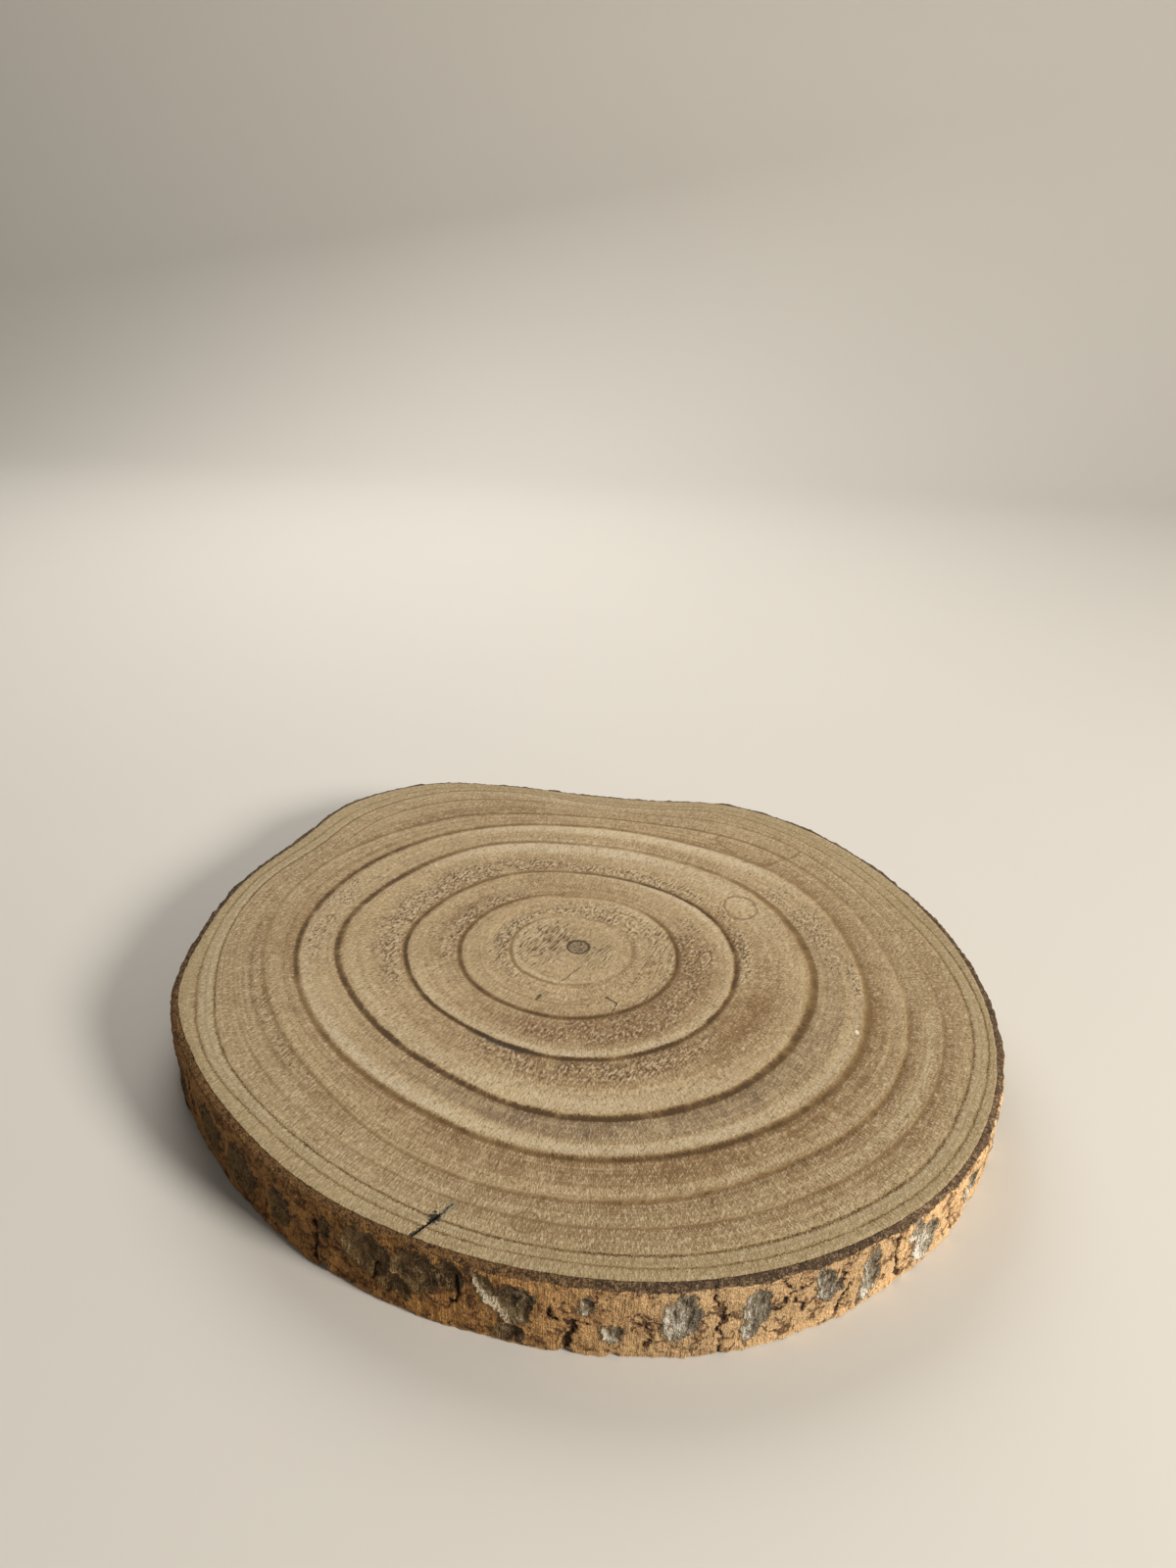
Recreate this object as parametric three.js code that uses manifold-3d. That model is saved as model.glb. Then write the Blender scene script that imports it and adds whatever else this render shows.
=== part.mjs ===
// A slice sawn straight across a young, fast-grown trunk, with its bark still on.
// It is one piece: wood and bark grew together. It lies flat on its underside, at z = 0.
// Lengths are millimetres, angles are degrees about the pith from +X, and +Z is up.
import * as THREE from 'three';
import { mergeVertices } from 'three/addons/utils/BufferGeometryUtils.js';
import Module from 'manifold-3d';

const { clamp, degToRad, euclideanModulo, smoothstep } = THREE.MathUtils;

// The slice
const THICKNESS = 30;
const BARK_WIDTH = 2.7;
const BARK_EDGE_DROP = 0.8; // the cut edge of the bark falls away from the sawn face
const BARK_CLEARANCE = 0.5; // and its lower edge stands clear of the ground
const FULL_AGE = 9;
const COLUMNS = 360;
const BARK_LEVELS = [2, 7, 13, 19, 25];

// How far the wood reaches from the pith, every 15 degrees.
const WOOD_REACH = [
  156.5, 152.2, 149.6, 147.8, 142.5, 129.4, 128.2, 138.9, 154.2, 158.0, 149.3, 150.2,
  150.8, 153.9, 151.3, 150.2, 152.0, 154.2, 158.3, 163.2, 166.5, 168.3, 165.9, 161.4,
];

// How far the line at the end of a year's growth lies from the pith, every 30 degrees.
const YEAR_REACH = [
  { age: 1, reach: [22.3, 21.3, 20.6, 21.3, 23.8, 26.4, 27.3, 28.1, 26.7, 25.2, 24.5, 23.5] },
  { age: 2, reach: [40, 38.5, 37, 36.8, 41, 44.5, 47.5, 48, 46, 45, 43.5, 42] },
  { age: 3, reach: [63.5, 60, 56, 56, 61, 65, 69.5, 67.5, 65.2, 67.5, 67.8, 65.8] },
  { age: 4, reach: [94, 89, 82, 81, 89, 92.5, 97.2, 91, 89.7, 96.5, 98.5, 96.7] },
  { age: 5, reach: [113, 109.5, 99, 97.5, 105, 110.5, 113, 108.8, 107.8, 114.5, 117.8, 119.2] },
  { age: 7, reach: [145, 140, 133, 119.5, 137, 140.2, 142, 142, 141, 144, 148.5, 148.5] },
  { age: FULL_AGE, reach: WOOD_REACH },
];

// Lines and marks in the sawn face
const RING_AGES = [1, 2, 3, 4, 5, 6, 7, 8];
const RING_COLUMNS = 54;
const RING_HALF_WIDTH = 1.1;
const RING_DEPTH = 0.8;
const PITH_RADIUS = 4.4;
const PITH_DEPTH = 0.9;
const PITH_COLUMNS = 24;
const CHECK = { at: 254.8, from: 141, to: 152.5, width: 1, depth: 2 };
const CUTTER_RISE = 1; // a cutter stands this far above the face it cuts

// Relief of the bark
const PLATE_RISE = 1;
const FISSURE_DEPTH = 1.3;
const FISSURE_HALF_WIDTH = 2.6;
const SWELL = 0.35;
const LEAN_IN = { at: 312, spread: 26, depth: 2.6 }; // the foot of the slice draws in here
const CHIPS = [
  { at: 240.8, rise: 1.3 }, { at: 270.6, rise: 1.2 }, { at: 275.4, rise: 0.9 }, { at: 308.7, rise: 1.1 },
];
const CHIP_HALF_WIDTH = 1.6;

// Plates of old outer bark along the front: angle, middle level, width and height.
const FRONT_PLATES = [
  [217, 15, 14, 22], [225.5, 15, 14, 22], [234, 15, 11, 15], [248, 19, 16, 14], [254, 19, 14, 16],
  [263.5, 18, 16, 17], [272.5, 21, 5, 9], [275, 10, 7, 6], [282, 17, 10, 19], [289.8, 15, 8, 20],
  [297.4, 20, 8, 16], [303.5, 15, 7, 22], [311.5, 14, 13, 22], [321, 17, 9, 15],
];

// Fissures between them: angle at the foot and at the top, lowest and highest level.
const FRONT_FISSURES = [
  [230.5, 231, 2, 12], [239.8, 240.3, 0, 21], [257.8, 258.8, 10, 22], [270, 271.3, 1, 14],
  [278.6, 277.5, 5, 16], [286.2, 285.3, 0, 30], [292.8, 293.4, 14, 26], [295, 294, 11, 19],
  [299.7, 300.4, 4, 24], [308.4, 306.3, 3, 27], [318.7, 316, 2, 20], [327, 326, 3, 24],
];

// Round the rest of the bark plates and fissures follow by turns, at uneven steps.
const REST = { from: 331, to: 570, step: 6.4, jitter: 2.2, seed: 11 };

const wasm = await Module();
wasm.setup();

function seededRandom(seed) {
  let state = seed;
  return () => {
    state = (state * 16807) % 2147483647;
    return state / 2147483647;
  };
}

// A smooth closed curve through values that are evenly spaced round the circle.
function roundCurve(values, degrees) {
  const place = (euclideanModulo(degrees, 360) / 360) * values.length;
  const index = Math.floor(place);
  const t = place - index;
  const [before, here, next, after] = [-1, 0, 1, 2].map(
    (step) => values[euclideanModulo(index + step, values.length)],
  );
  const bend = 2 * before - 5 * here + 4 * next - after;
  const twist = 3 * (here - next) + after - before;
  return here + 0.5 * t * (next - before + t * (bend + t * twist));
}

// How far the tree reached from its pith at an age, growing evenly between the years above.
function reachAt(age, degrees) {
  const upper = YEAR_REACH.findIndex((year) => year.age >= age);
  const later = YEAR_REACH[upper];
  const earlier = upper > 0 ? YEAR_REACH[upper - 1] : { age: 0, reach: [0] };
  const share = (age - earlier.age) / (later.age - earlier.age);
  return (1 - share) * roundCurve(earlier.reach, degrees) + share * roundCurve(later.reach, degrees);
}

function plantBark() {
  const random = seededRandom(REST.seed);
  const between = (low, high) => low + (high - low) * random();
  const plates = [...FRONT_PLATES];
  const fissures = [...FRONT_FISSURES];
  let plateNext = true;
  for (let at = REST.from; at < REST.to; at += REST.step + between(-REST.jitter, REST.jitter)) {
    if (plateNext) {
      plates.push([at, between(12, 19), between(7, 14), between(12, 23)]);
    } else {
      fissures.push([at, at + between(-1.5, 1.5), between(0, 6), between(16, 30)]);
    }
    plateNext = !plateNext;
  }
  return { plates, fissures };
}

const BARK = plantBark();

function turnBetween(from, to) {
  return euclideanModulo(to - from + 180, 360) - 180;
}

// How far the bark stands out of its mean surface.
function barkRelief(degrees, level) {
  const mmPerDegree = degToRad(1) * reachAt(FULL_AGE, degrees);
  let plate = 0;
  for (const [at, middle, width, height] of BARK.plates) {
    const across = (turnBetween(at, degrees) * mmPerDegree) / (width / 2);
    const along = (level - middle) / (height / 2);
    plate = Math.max(plate, 1 - smoothstep(Math.hypot(across, along), 0.7, 1.15));
  }
  let fissure = 0;
  for (const [foot, top, low, high] of BARK.fissures) {
    const at = foot + ((top - foot) * (level - low)) / (high - low);
    const across = (Math.abs(turnBetween(at, degrees)) * mmPerDegree) / FISSURE_HALF_WIDTH;
    const open = level >= low && level <= high ? 1 : 0;
    fissure = Math.max(fissure, open * (1 - across));
  }
  const angle = degToRad(degrees);
  const swell = SWELL * (Math.sin(23 * angle + level / 9) + Math.sin(41 * angle - level / 6)) / 2;
  return swell + PLATE_RISE * plate - FISSURE_DEPTH * fissure;
}

// How far the edge of the wood lies from the pith at a level.
function woodEdge(degrees, level) {
  const near = 1 - smoothstep(Math.abs(turnBetween(LEAN_IN.at, degrees)), 0, LEAN_IN.spread);
  return reachAt(FULL_AGE, degrees) - LEAN_IN.depth * near * (1 - level / THICKNESS);
}

function chipRise(degrees) {
  const mmPerDegree = degToRad(1) * reachAt(FULL_AGE, degrees);
  const rises = CHIPS.map(({ at, rise }) => {
    const across = (Math.abs(turnBetween(at, degrees)) * mmPerDegree) / CHIP_HALF_WIDTH;
    return rise * clamp(2 - across, 0, 1);
  });
  return Math.max(...rises);
}

// A turned shape, with every point then moved to the reach and level that place() gives it.
function turned(profile, columns, place) {
  const points = profile.map(([shell, level]) => new THREE.Vector2(shell, level));
  const geometry = new THREE.LatheGeometry(points, columns);
  geometry.deleteAttribute('normal');
  geometry.deleteAttribute('uv');
  const position = geometry.attributes.position;
  for (let i = 0; i < position.count; i += 1) {
    const column = Math.floor(i / profile.length) % columns;
    const [shell, level] = profile[i % profile.length];
    const degrees = (360 * column) / columns;
    const [reach, height] = place(shell, level, degrees);
    const angle = degToRad(degrees);
    position.setXYZ(i, reach * Math.cos(angle), reach * Math.sin(angle), height);
  }
  return geometry;
}

function solid(geometry) {
  const merged = mergeVertices(geometry, 1e-4);
  const index = merged.index.array;
  const triVerts = [];
  for (let i = 0; i < index.length; i += 3) {
    const [a, b, c] = [index[i], index[i + 1], index[i + 2]];
    if (a !== b && b !== c && c !== a) {
      triVerts.push(a, b, c);
    }
  }
  const mesh = new wasm.Mesh({
    numProp: 3,
    vertProperties: new Float32Array(merged.attributes.position.array),
    triVerts: new Uint32Array(triVerts),
  });
  return new wasm.Manifold(mesh);
}

// The slab in its bark. The shell is 0 on the axis, 1 at the edge of the wood and 2 on the bark's outside.
function slab() {
  const profile = [
    [0, 0],
    [1, 0],
    [2, BARK_CLEARANCE],
    ...BARK_LEVELS.map((level) => [2, level]),
    [2, THICKNESS - BARK_EDGE_DROP],
    [1, THICKNESS],
    [0, THICKNESS],
  ];
  return solid(turned(profile, COLUMNS, (shell, level, degrees) => {
    const edge = woodEdge(degrees, level);
    if (shell <= 1) {
      return [shell * edge, level];
    }
    const height = level === BARK_CLEARANCE ? level + chipRise(degrees) : level;
    return [edge + BARK_WIDTH + barkRelief(degrees, level), height];
  }));
}

// A cutter with a V section that follows the line of one year's growth.
function ringCutter(age) {
  const outerHalf = RING_HALF_WIDTH * (RING_DEPTH + CUTTER_RISE) / RING_DEPTH;
  const section = [
    [-outerHalf, THICKNESS + CUTTER_RISE],
    [0, THICKNESS - RING_DEPTH],
    [outerHalf, THICKNESS + CUTTER_RISE],
    [-outerHalf, THICKNESS + CUTTER_RISE],
  ];
  const place = (offset, level, degrees) => [reachAt(age, degrees) + offset, level];
  return solid(turned(section, RING_COLUMNS, place));
}

function pithCutter() {
  const profile = [
    [0, THICKNESS - PITH_DEPTH],
    [PITH_RADIUS, THICKNESS],
    [PITH_RADIUS, THICKNESS + CUTTER_RISE],
    [0, THICKNESS + CUTTER_RISE],
  ];
  return solid(turned(profile, PITH_COLUMNS, (radius, level) => [radius, level]));
}

// The drying check: a slim wedge that opens towards the bark.
function checkCutter() {
  const plan = new THREE.Shape([
    new THREE.Vector2(CHECK.from, 0),
    new THREE.Vector2(CHECK.to, -CHECK.width / 2),
    new THREE.Vector2(CHECK.to, CHECK.width / 2),
  ]);
  const wedge = new THREE.ExtrudeGeometry(plan, { depth: CHECK.depth + CUTTER_RISE, bevelEnabled: false });
  wedge.deleteAttribute('normal');
  wedge.deleteAttribute('uv');
  wedge.rotateZ(degToRad(CHECK.at));
  wedge.translate(0, 0, THICKNESS - CHECK.depth);
  return solid(wedge);
}

function sliceGeometry() {
  const cutters = [...RING_AGES.map(ringCutter), pithCutter(), checkCutter()];
  const cut = cutters.reduce((rest, cutter) => rest.subtract(cutter), slab());
  const mesh = cut.getMesh();
  const geometry = new THREE.BufferGeometry();
  geometry.setAttribute('position', new THREE.BufferAttribute(mesh.vertProperties, 3));
  geometry.setIndex(new THREE.BufferAttribute(mesh.triVerts, 1));
  geometry.computeVertexNormals();
  geometry.computeBoundingBox();
  return geometry;
}

const wood = new THREE.MeshStandardMaterial({ color: 0xb59a6e, roughness: 0.8, metalness: 0 });
const woodSlice = new THREE.Mesh(sliceGeometry(), wood);
woodSlice.name = 'wood_slice';

// The middle of the slice's box stands on the origin.
const middle = woodSlice.geometry.boundingBox.getCenter(new THREE.Vector3());
woodSlice.position.set(-middle.x, -middle.y, 0);

const slice = new THREE.Group();
slice.add(woodSlice);

export default slice;
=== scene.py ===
"""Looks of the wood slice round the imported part: sawn wood with its growth rings, and bark."""

import math
import random

import bpy
import numpy as np
from mathutils import Matrix, Vector, noise


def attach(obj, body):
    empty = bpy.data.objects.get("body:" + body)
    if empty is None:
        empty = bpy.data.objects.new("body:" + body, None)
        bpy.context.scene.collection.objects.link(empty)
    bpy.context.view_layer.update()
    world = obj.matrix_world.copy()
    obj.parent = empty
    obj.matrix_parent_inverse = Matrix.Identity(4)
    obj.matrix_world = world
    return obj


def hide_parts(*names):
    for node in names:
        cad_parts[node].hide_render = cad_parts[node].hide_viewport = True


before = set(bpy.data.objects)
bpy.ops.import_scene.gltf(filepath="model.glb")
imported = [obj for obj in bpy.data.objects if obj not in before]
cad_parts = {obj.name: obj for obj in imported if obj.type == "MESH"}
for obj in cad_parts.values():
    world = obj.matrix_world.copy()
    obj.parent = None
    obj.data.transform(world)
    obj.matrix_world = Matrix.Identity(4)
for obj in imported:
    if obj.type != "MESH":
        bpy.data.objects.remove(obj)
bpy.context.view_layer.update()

# Sizes in millimetres, angles in degrees round the pith from +X
MM = 0.001
PITH = (-3.0768, 11.7281, 0.0)
THICKNESS = 30.0
FULL_AGE = 9.0
WOOD_REACH = [
    156.5, 152.2, 149.6, 147.8, 142.5, 129.4, 128.2, 138.9, 154.2, 158.0, 149.3, 150.2,
    150.8, 153.9, 151.3, 150.2, 152.0, 154.2, 158.3, 163.2, 166.5, 168.3, 165.9, 161.4,
]
YEAR_REACH = {
    1: [22.3, 21.3, 20.6, 21.3, 23.8, 26.4, 27.3, 28.1, 26.7, 25.2, 24.5, 23.5],
    2: [40.0, 38.5, 37.0, 36.8, 41.0, 44.5, 47.5, 48.0, 46.0, 45.0, 43.5, 42.0],
    3: [63.5, 60.0, 56.0, 56.0, 61.0, 65.0, 69.5, 67.5, 65.2, 67.5, 67.8, 65.8],
    4: [94.0, 89.0, 82.0, 81.0, 89.0, 92.5, 97.2, 91.0, 89.7, 96.5, 98.5, 96.7],
    5: [113.0, 109.5, 99.0, 97.5, 105.0, 110.5, 113.0, 108.8, 107.8, 114.5, 117.8, 119.2],
    6: [126.3, 122.8, 121.0, 118.5, 112.5, 107.2, 106.8, 111.2, 118.3, 122.3, 126.5, 128.3,
        126.2, 123.0, 121.0, 120.8, 124.8, 128.8, 131.8, 134.0, 133.6, 135.2, 134.6, 131.0],
    7: [137.0, 133.0, 131.3, 130.0, 124.0, 115.5, 115.5, 125.3, 134.7, 136.5, 130.6, 135.0,
        136.5, 134.2, 133.5, 133.0, 133.8, 137.0, 141.0, 144.3, 146.3, 148.0, 147.2, 143.5],
    8: [148.3, 141.8, 139.5, 138.0, 134.0, 121.0, 120.8, 133.0, 144.5, 146.0, 139.2, 141.7,
        141.5, 141.0, 141.8, 140.5, 141.5, 145.5, 150.0, 154.5, 157.5, 159.4, 157.0, 154.0],
    8.5: [153.2, 146.7, 144.3, 142.5, 137.8, 124.4, 124.2, 136.0, 149.0, 151.0, 144.5, 146.5,
          146.8, 147.8, 147.8, 144.8, 146.2, 149.8, 153.9, 159.3, 162.6, 164.5, 162.5, 159.2],
    9: WOOD_REACH,
}
LEAN_IN = {"at": 312.0, "spread": 26.0, "depth": 2.6}
# The drying check in the edge: its two ends from the pith, and its angle
CHECK = ((-34.8, -134.6), (-45.4, -146.6))
CHECK_TURN = 254.2

# Ring lines: age, strength, width in years
INNER_RINGS = [
    (0.86, 0.5, 0.04), (1.0, 1.0, 0.065), (2.0, 1.0, 0.115), (2.72, 0.3, 0.04), (3.0, 1.0, 0.11),
    (4.0, 1.0, 0.14), (5.0, 1.0, 0.19),
]
OUTER_RINGS = [
    (5.62, 0.45, 0.08), (6.0, 1.0, 0.15), (7.0, 0.9, 0.12), (7.3, 0.6, 0.08), (8.0, 1.0, 0.11),
    (8.5, 1.0, 0.09), (8.8, 0.35, 0.06),
]
FAINT_RINGS = [
    (1.38, 0.3, 0.05), (1.62, 0.25, 0.05), (2.4, 0.25, 0.04), (3.42, 0.25, 0.05), (5.36, 0.4, 0.07),
    (6.42, 0.5, 0.08), (7.62, 0.5, 0.06), (8.26, 0.4, 0.05),
]
# How dark the line of each year is, at even angles
RING_TONE = {
    1: [0.35, 0.2, 0.15, 0.15, 0.3, 0.45, 0.5, 0.45, 0.45, 0.35, 0.25, 0.3],
    2: [0.95, 0.6, 0.25, 0.35, 0.6, 0.75, 0.85, 0.95, 0.95, 0.95, 0.9, 0.9],
    3: [0.8, 1.0, 0.9, 0.6, 0.55, 0.75, 0.9, 1.05, 1.1, 1.0, 0.95, 0.9],
    4: [0.75, 0.5, 0.4, 0.4, 0.6, 0.9, 0.95, 1.0, 1.0, 1.1, 0.95, 0.85],
    5: [0.4, 0.35, 0.4, 0.5, 0.6, 1.0, 0.8, 0.6, 0.65, 0.8, 0.85, 0.6],
    6: [0.2, 0.35, 0.5, 0.5, 0.55, 0.4, 0.3, 0.4, 0.4, 0.5, 0.6, 0.55],
    7: [0.2, 0.45, 0.5, 0.45, 0.45, 0.25, 0.2, 0.25, 0.3, 0.45, 0.5, 0.4],
    8: [0.55, 0.5, 0.5, 0.45, 0.6, 0.8, 0.7, 0.7, 0.7, 0.7, 0.7, 0.7],
    8.5: [0.7, 0.4, 0.4, 0.35, 0.35, 0.5, 0.5, 0.55, 0.55, 0.55, 0.6, 0.6],
}
# How brown the early wood of each year is
YEAR_BROWN = [0.1, 0.2, 0.4, 0.35, 0.3, 0.4, 0.3, 0.2, 0.05]
# Patches of the sawn face: age, angle, half spread in years and in degrees, strength
BROWN_PATCHES = [
    (0.5, 170, 0.5, 70, 0.1), (1.25, 150, 0.35, 80, 0.15), (1.8, 255, 0.2, 35, 0.4),
    (2.2, 150, 0.6, 60, 0.45), (2.35, 295, 0.5, 85, 0.9), (2.3, 0, 0.5, 40, 0.5),
    (3.2, 150, 0.45, 60, 0.4), (3.2, 275, 0.3, 40, 0.8), (3.4, 325, 0.4, 35, 0.8), (3.1, 10, 0.2, 25, 0.5),
    (4.25, 275, 0.4, 50, 0.8), (4.3, 320, 0.45, 32, 0.3), (4.2, 0, 0.4, 50, 0.1),
    (5.2, 290, 0.55, 75, 0.7), (5.3, 30, 0.6, 60, 0.3), (5.35, 160, 0.35, 30, 0.4),
    (6.15, 300, 0.35, 60, 0.5), (6.1, 115, 0.35, 45, 0.5), (6.3, 200, 0.4, 40, 0.3),
    (7.1, 300, 0.5, 60, 0.4),
]
PALE_PATCHES = [
    (0.93, 190, 0.08, 110, 0.6), (1.85, 50, 0.2, 40, 0.4), (2.9, 45, 0.15, 60, 0.7),
    (2.88, 265, 0.14, 100, 0.6),
    (3.6, 45, 0.4, 60, 0.4), (3.85, 95, 0.3, 50, 0.9), (3.75, 260, 0.3, 90, 0.4), (4.75, 75, 0.35, 60, 0.9),
    (4.75, 275, 0.22, 80, 0.8), (4.7, 200, 0.3, 60, 0.3), (6.5, 325, 0.4, 30, 0.4), (7.5, 95, 0.6, 40, 0.4),
    (8.2, 190, 0.3, 90, 0.4), (8.2, 330, 0.25, 60, 0.3),
]
TORN_PATCHES = [
    (1.15, 120, 0.2, 130, 1.0), (1.5, 60, 0.5, 50, 0.4), (1.9, 330, 0.15, 40, 0.5),
    (2.15, 160, 0.25, 50, 1.0), (2.3, 5, 0.4, 35, 0.5), (2.35, 290, 0.4, 60, 0.4),
    (3.25, 150, 0.3, 60, 1.0), (3.15, 60, 0.2, 70, 0.7), (3.08, 5, 0.15, 25, 1.0),
    (3.2, 275, 0.25, 45, 0.8),
    (4.5, 165, 0.4, 30, 0.4), (4.8, 352, 0.16, 7, 0.9), (4.4, 20, 0.4, 40, 0.3), (6.1, 205, 0.4, 30, 0.3),
]
SCRATCHED_PATCHES = [
    (0.5, 165, 0.5, 75, 1.0), (0.45, 330, 0.35, 50, 0.6), (1.65, 12, 0.5, 22, 0.7),
    (1.2, 185, 0.25, 35, 0.6),
    (1.6, 345, 0.5, 25, 0.3),
]


def round_curve(stations, degrees):
    """A smooth closed curve through values at even angles, read at the given angles."""
    values = np.asarray(stations)
    count = len(values)
    place = np.asarray(degrees) / 360.0 * count
    step = np.floor(place).astype(int)
    t = place - step
    before = values[(step - 1) % count]
    here = values[step % count]
    after = values[(step + 1) % count]
    later = values[(step + 2) % count]
    bend = 2 * before - 5 * here + 4 * after - later
    sway = 3 * (here - after) + later - before
    return here + 0.5 * t * (after - before + t * (bend + t * sway))


def reach_at(age, degrees):
    """How far from the pith the wood of one age lies, at the given angles."""
    inner_age = 0
    inner = np.zeros(len(degrees))
    for outer_age, stations in YEAR_REACH.items():
        outer = round_curve(stations, degrees)
        if age <= outer_age:
            break
        inner_age = outer_age
        inner = outer
    share = (age - inner_age) / (outer_age - inner_age)
    return inner + (outer - inner) * share


def ring_tone_at(age, degrees):
    """How dark the line of the nearest ring is, at the given angles."""
    nearest = min(RING_TONE, key=lambda ring: abs(ring - age))
    return round_curve(RING_TONE[nearest], degrees)


def patches_at(patches, age, degrees):
    """How strong a list of patches is on the wood of one age, at the given angles."""
    total = np.zeros(len(degrees))
    for middle_age, middle_turn, half_age, half_turn, strength in patches:
        across = (age - middle_age) / half_age
        along = turn_from(degrees, middle_turn) / half_turn
        total = total + strength * np.maximum(1.0 - across ** 2 - along ** 2, 0.0)
    return total


def step_up(value, low, high):
    """0 below low, 1 above high, smooth between."""
    t = np.clip((value - low) / (high - low), 0.0, 1.0)
    return t * t * (3.0 - 2.0 * t)


def turn_from(degrees, middle):
    """The signed turn from one angle to others, in degrees."""
    return (degrees - middle + 180.0) % 360.0 - 180.0


def lean_at(degrees, height):
    """How far the trunk's side leans in below the sawn face."""
    near = 1.0 - step_up(np.abs(turn_from(degrees, LEAN_IN["at"])), 0.0, LEAN_IN["spread"])
    return LEAN_IN["depth"] * near * (1.0 - height / THICKNESS)


def ripple(points, size, octaves=1):
    """Smooth noise, about -1 to 1, with humps of the given size, at an array of points."""
    flat = np.asarray(points).reshape(-1, 3)
    values = [noise.fractal(Vector(point), 0.8, 2.0, octaves) for point in flat / np.asarray(size)]
    return np.array(values).reshape(np.asarray(points).shape[:-1])


def around(reach, degrees, height):
    """Points at a reach, an angle and a height round the pith, in millimetres."""
    turn = np.radians(degrees)
    x = PITH[0] + reach * np.cos(turn)
    y = PITH[1] + reach * np.sin(turn)
    return np.stack([x, y, np.broadcast_to(height, x.shape)], axis=-1)


def quads_between(rows, columns, closed):
    """Faces between rows of points that each run once round the slice."""
    last = rows if closed else rows - 1
    row = np.arange(last)[:, None]
    column = np.arange(columns)[None, :]
    beside = (column + 1) % columns
    below = (row + 1) % rows
    corners = [
        row * columns + column, below * columns + column,
        below * columns + beside, row * columns + beside,
    ]
    spread = [np.broadcast_to(corner, (last, columns)) for corner in corners]
    return np.stack(spread, axis=-1).reshape(-1, 4)


def make_piece(name, points, faces, spread, values, finish):
    """A smooth piece from points in millimetres, with its flat layout for baking and its point values."""
    mesh = bpy.data.meshes.new(name)
    mesh.from_pydata((np.asarray(points) * MM).tolist(), [], faces)
    layout = mesh.uv_layers.new(name="OFBake")
    layout.data.foreach_set("uv", np.asarray(spread, dtype=np.float32).ravel())
    for title, numbers in values.items():
        attribute = mesh.attributes.new(title, "FLOAT", "POINT")
        attribute.data.foreach_set("value", np.asarray(numbers, dtype=np.float32).ravel())
    mesh.shade_smooth()
    mesh.set_sharp_from_angle(angle=math.radians(50))
    mesh.materials.append(finish)
    piece = bpy.data.objects.new(name, mesh)
    bpy.context.scene.collection.objects.link(piece)
    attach(piece, "root")
    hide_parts("wood_slice")
    return piece


class Wire:
    """A socket of a finish; sums on it add Math nodes."""

    def __init__(self, finish, socket):
        self.finish = finish
        self.socket = socket

    def sum(self, operation, *values):
        return self.finish.node("Math", {"operation": operation}, *values)

    def __add__(self, other):
        return self.sum("ADD", self, other)

    def __radd__(self, other):
        return self.sum("ADD", other, self)

    def __sub__(self, other):
        return self.sum("SUBTRACT", self, other)

    def __rsub__(self, other):
        return self.sum("SUBTRACT", other, self)

    def __mul__(self, other):
        return self.sum("MULTIPLY", self, other)

    def __rmul__(self, other):
        return self.sum("MULTIPLY", other, self)

    def __truediv__(self, other):
        return self.sum("DIVIDE", self, other)

    def __rtruediv__(self, other):
        return self.sum("DIVIDE", other, self)

    def __pow__(self, other):
        return self.sum("POWER", self, other)

    def __abs__(self):
        return self.sum("ABSOLUTE", self)

    def most(self, other):
        return self.sum("MAXIMUM", self, other)

    def least(self, other):
        return self.sum("MINIMUM", self, other)

    def also(self, name):
        """Another output of the same node."""
        return Wire(self.finish, self.socket.node.outputs[name])


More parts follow.
